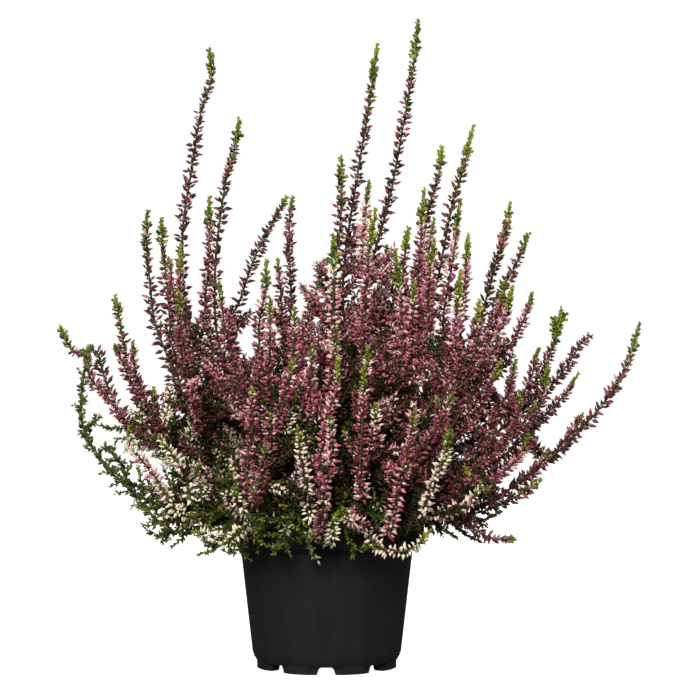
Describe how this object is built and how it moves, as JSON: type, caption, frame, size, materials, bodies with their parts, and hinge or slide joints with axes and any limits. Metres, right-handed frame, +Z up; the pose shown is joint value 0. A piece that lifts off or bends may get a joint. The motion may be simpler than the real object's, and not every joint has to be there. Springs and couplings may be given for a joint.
{
  "type": "potted heather",
  "caption": "Bud-flowering heather with upright spikes of small closed buds and leafy green shoots, standing in a round tapered plastic nursery pot.",
  "frame": {"origin": "middle of the whole object's footprint, at the height it stands on", "axes": "+Z up along the pot's axis, -Y towards the side that is seen from the front, +X to its right"},
  "size_m": [0.3588, 0.212, 0.3972],
  "materials": {
    "pot_plastic": "moulded, satin black",
    "peat": "moist crumbly peat",
    "buds_rose": "matt, raspberry pink",
    "buds_crimson": "matt, dark crimson",
    "buds_pale": "matt, pale pink with whitish ends",
    "buds_dusk": "matt, brownish pink",
    "buds_white": "matt, cream white",
    "heather_leaf": "matt scale leaves, dark to lime green",
    "heather_wood": "thin brown bark"
  },
  "bodies": {
    "root": {"pot": "pot_plastic", "soil": "peat", "flower_spray_01": "buds_dusk", "flower_spray_02": "buds_dusk", "flower_spray_03": "buds_pale", "flower_spray_04": "buds_white", "flower_spray_05": "buds_dusk", "flower_spray_06": "buds_rose", "flower_spray_07": "buds_dusk", "flower_spray_08": "buds_dusk", "flower_spray_09": "buds_rose", "flower_spray_10": "buds_dusk", "flower_spray_11": "buds_dusk", "flower_spray_12": "buds_rose", "flower_spray_13": "buds_dusk", "flower_spray_14": "buds_rose", "flower_spray_15": "buds_rose", "flower_spray_16": "buds_rose", "flower_spray_17": "buds_rose", "flower_spray_18": "buds_rose", "flower_spray_19": "buds_pale", "flower_spray_20": "buds_rose", "flower_spray_21": "buds_rose", "flower_spray_22": "buds_crimson", "flower_spray_23": "buds_crimson", "flower_spray_24": "buds_white", "flower_spray_25": "buds_dusk", "flower_spray_26": "buds_rose", "flower_spray_27": "buds_dusk", "flower_spray_28": "buds_rose", "flower_spray_29": "buds_dusk", "flower_spray_30": "buds_rose", "flower_spray_31": "buds_pale", "flower_spray_32": "buds_rose", "flower_spray_33": "buds_pale", "flower_spray_34": "buds_rose", "flower_spray_35": "buds_dusk", "flower_spray_36": "buds_dusk", "flower_spray_37": "buds_rose", "flower_spray_38": "buds_rose", "flower_spray_39": "buds_pale", "flower_spray_40": "buds_rose", "flower_spray_41": "buds_rose", "flower_spray_42": "buds_dusk", "flower_spray_43": "buds_rose", "flower_spray_44": "buds_rose", "flower_spray_45": "buds_dusk", "flower_spray_46": "buds_rose", "flower_spray_47": "buds_rose", "flower_spray_48": "buds_dusk", "flower_spray_49": "buds_rose", "leafy_spray_01": "heather_leaf", "leafy_spray_02": "heather_leaf", "leafy_spray_03": "heather_leaf", "leafy_spray_04": "heather_leaf", "leafy_spray_05": "heather_leaf", "leafy_spray_06": "heather_leaf", "leafy_spray_07": "heather_leaf", "leafy_spray_08": "heather_leaf", "leafy_spray_09": "heather_leaf"}
  },
  "joints": []
}
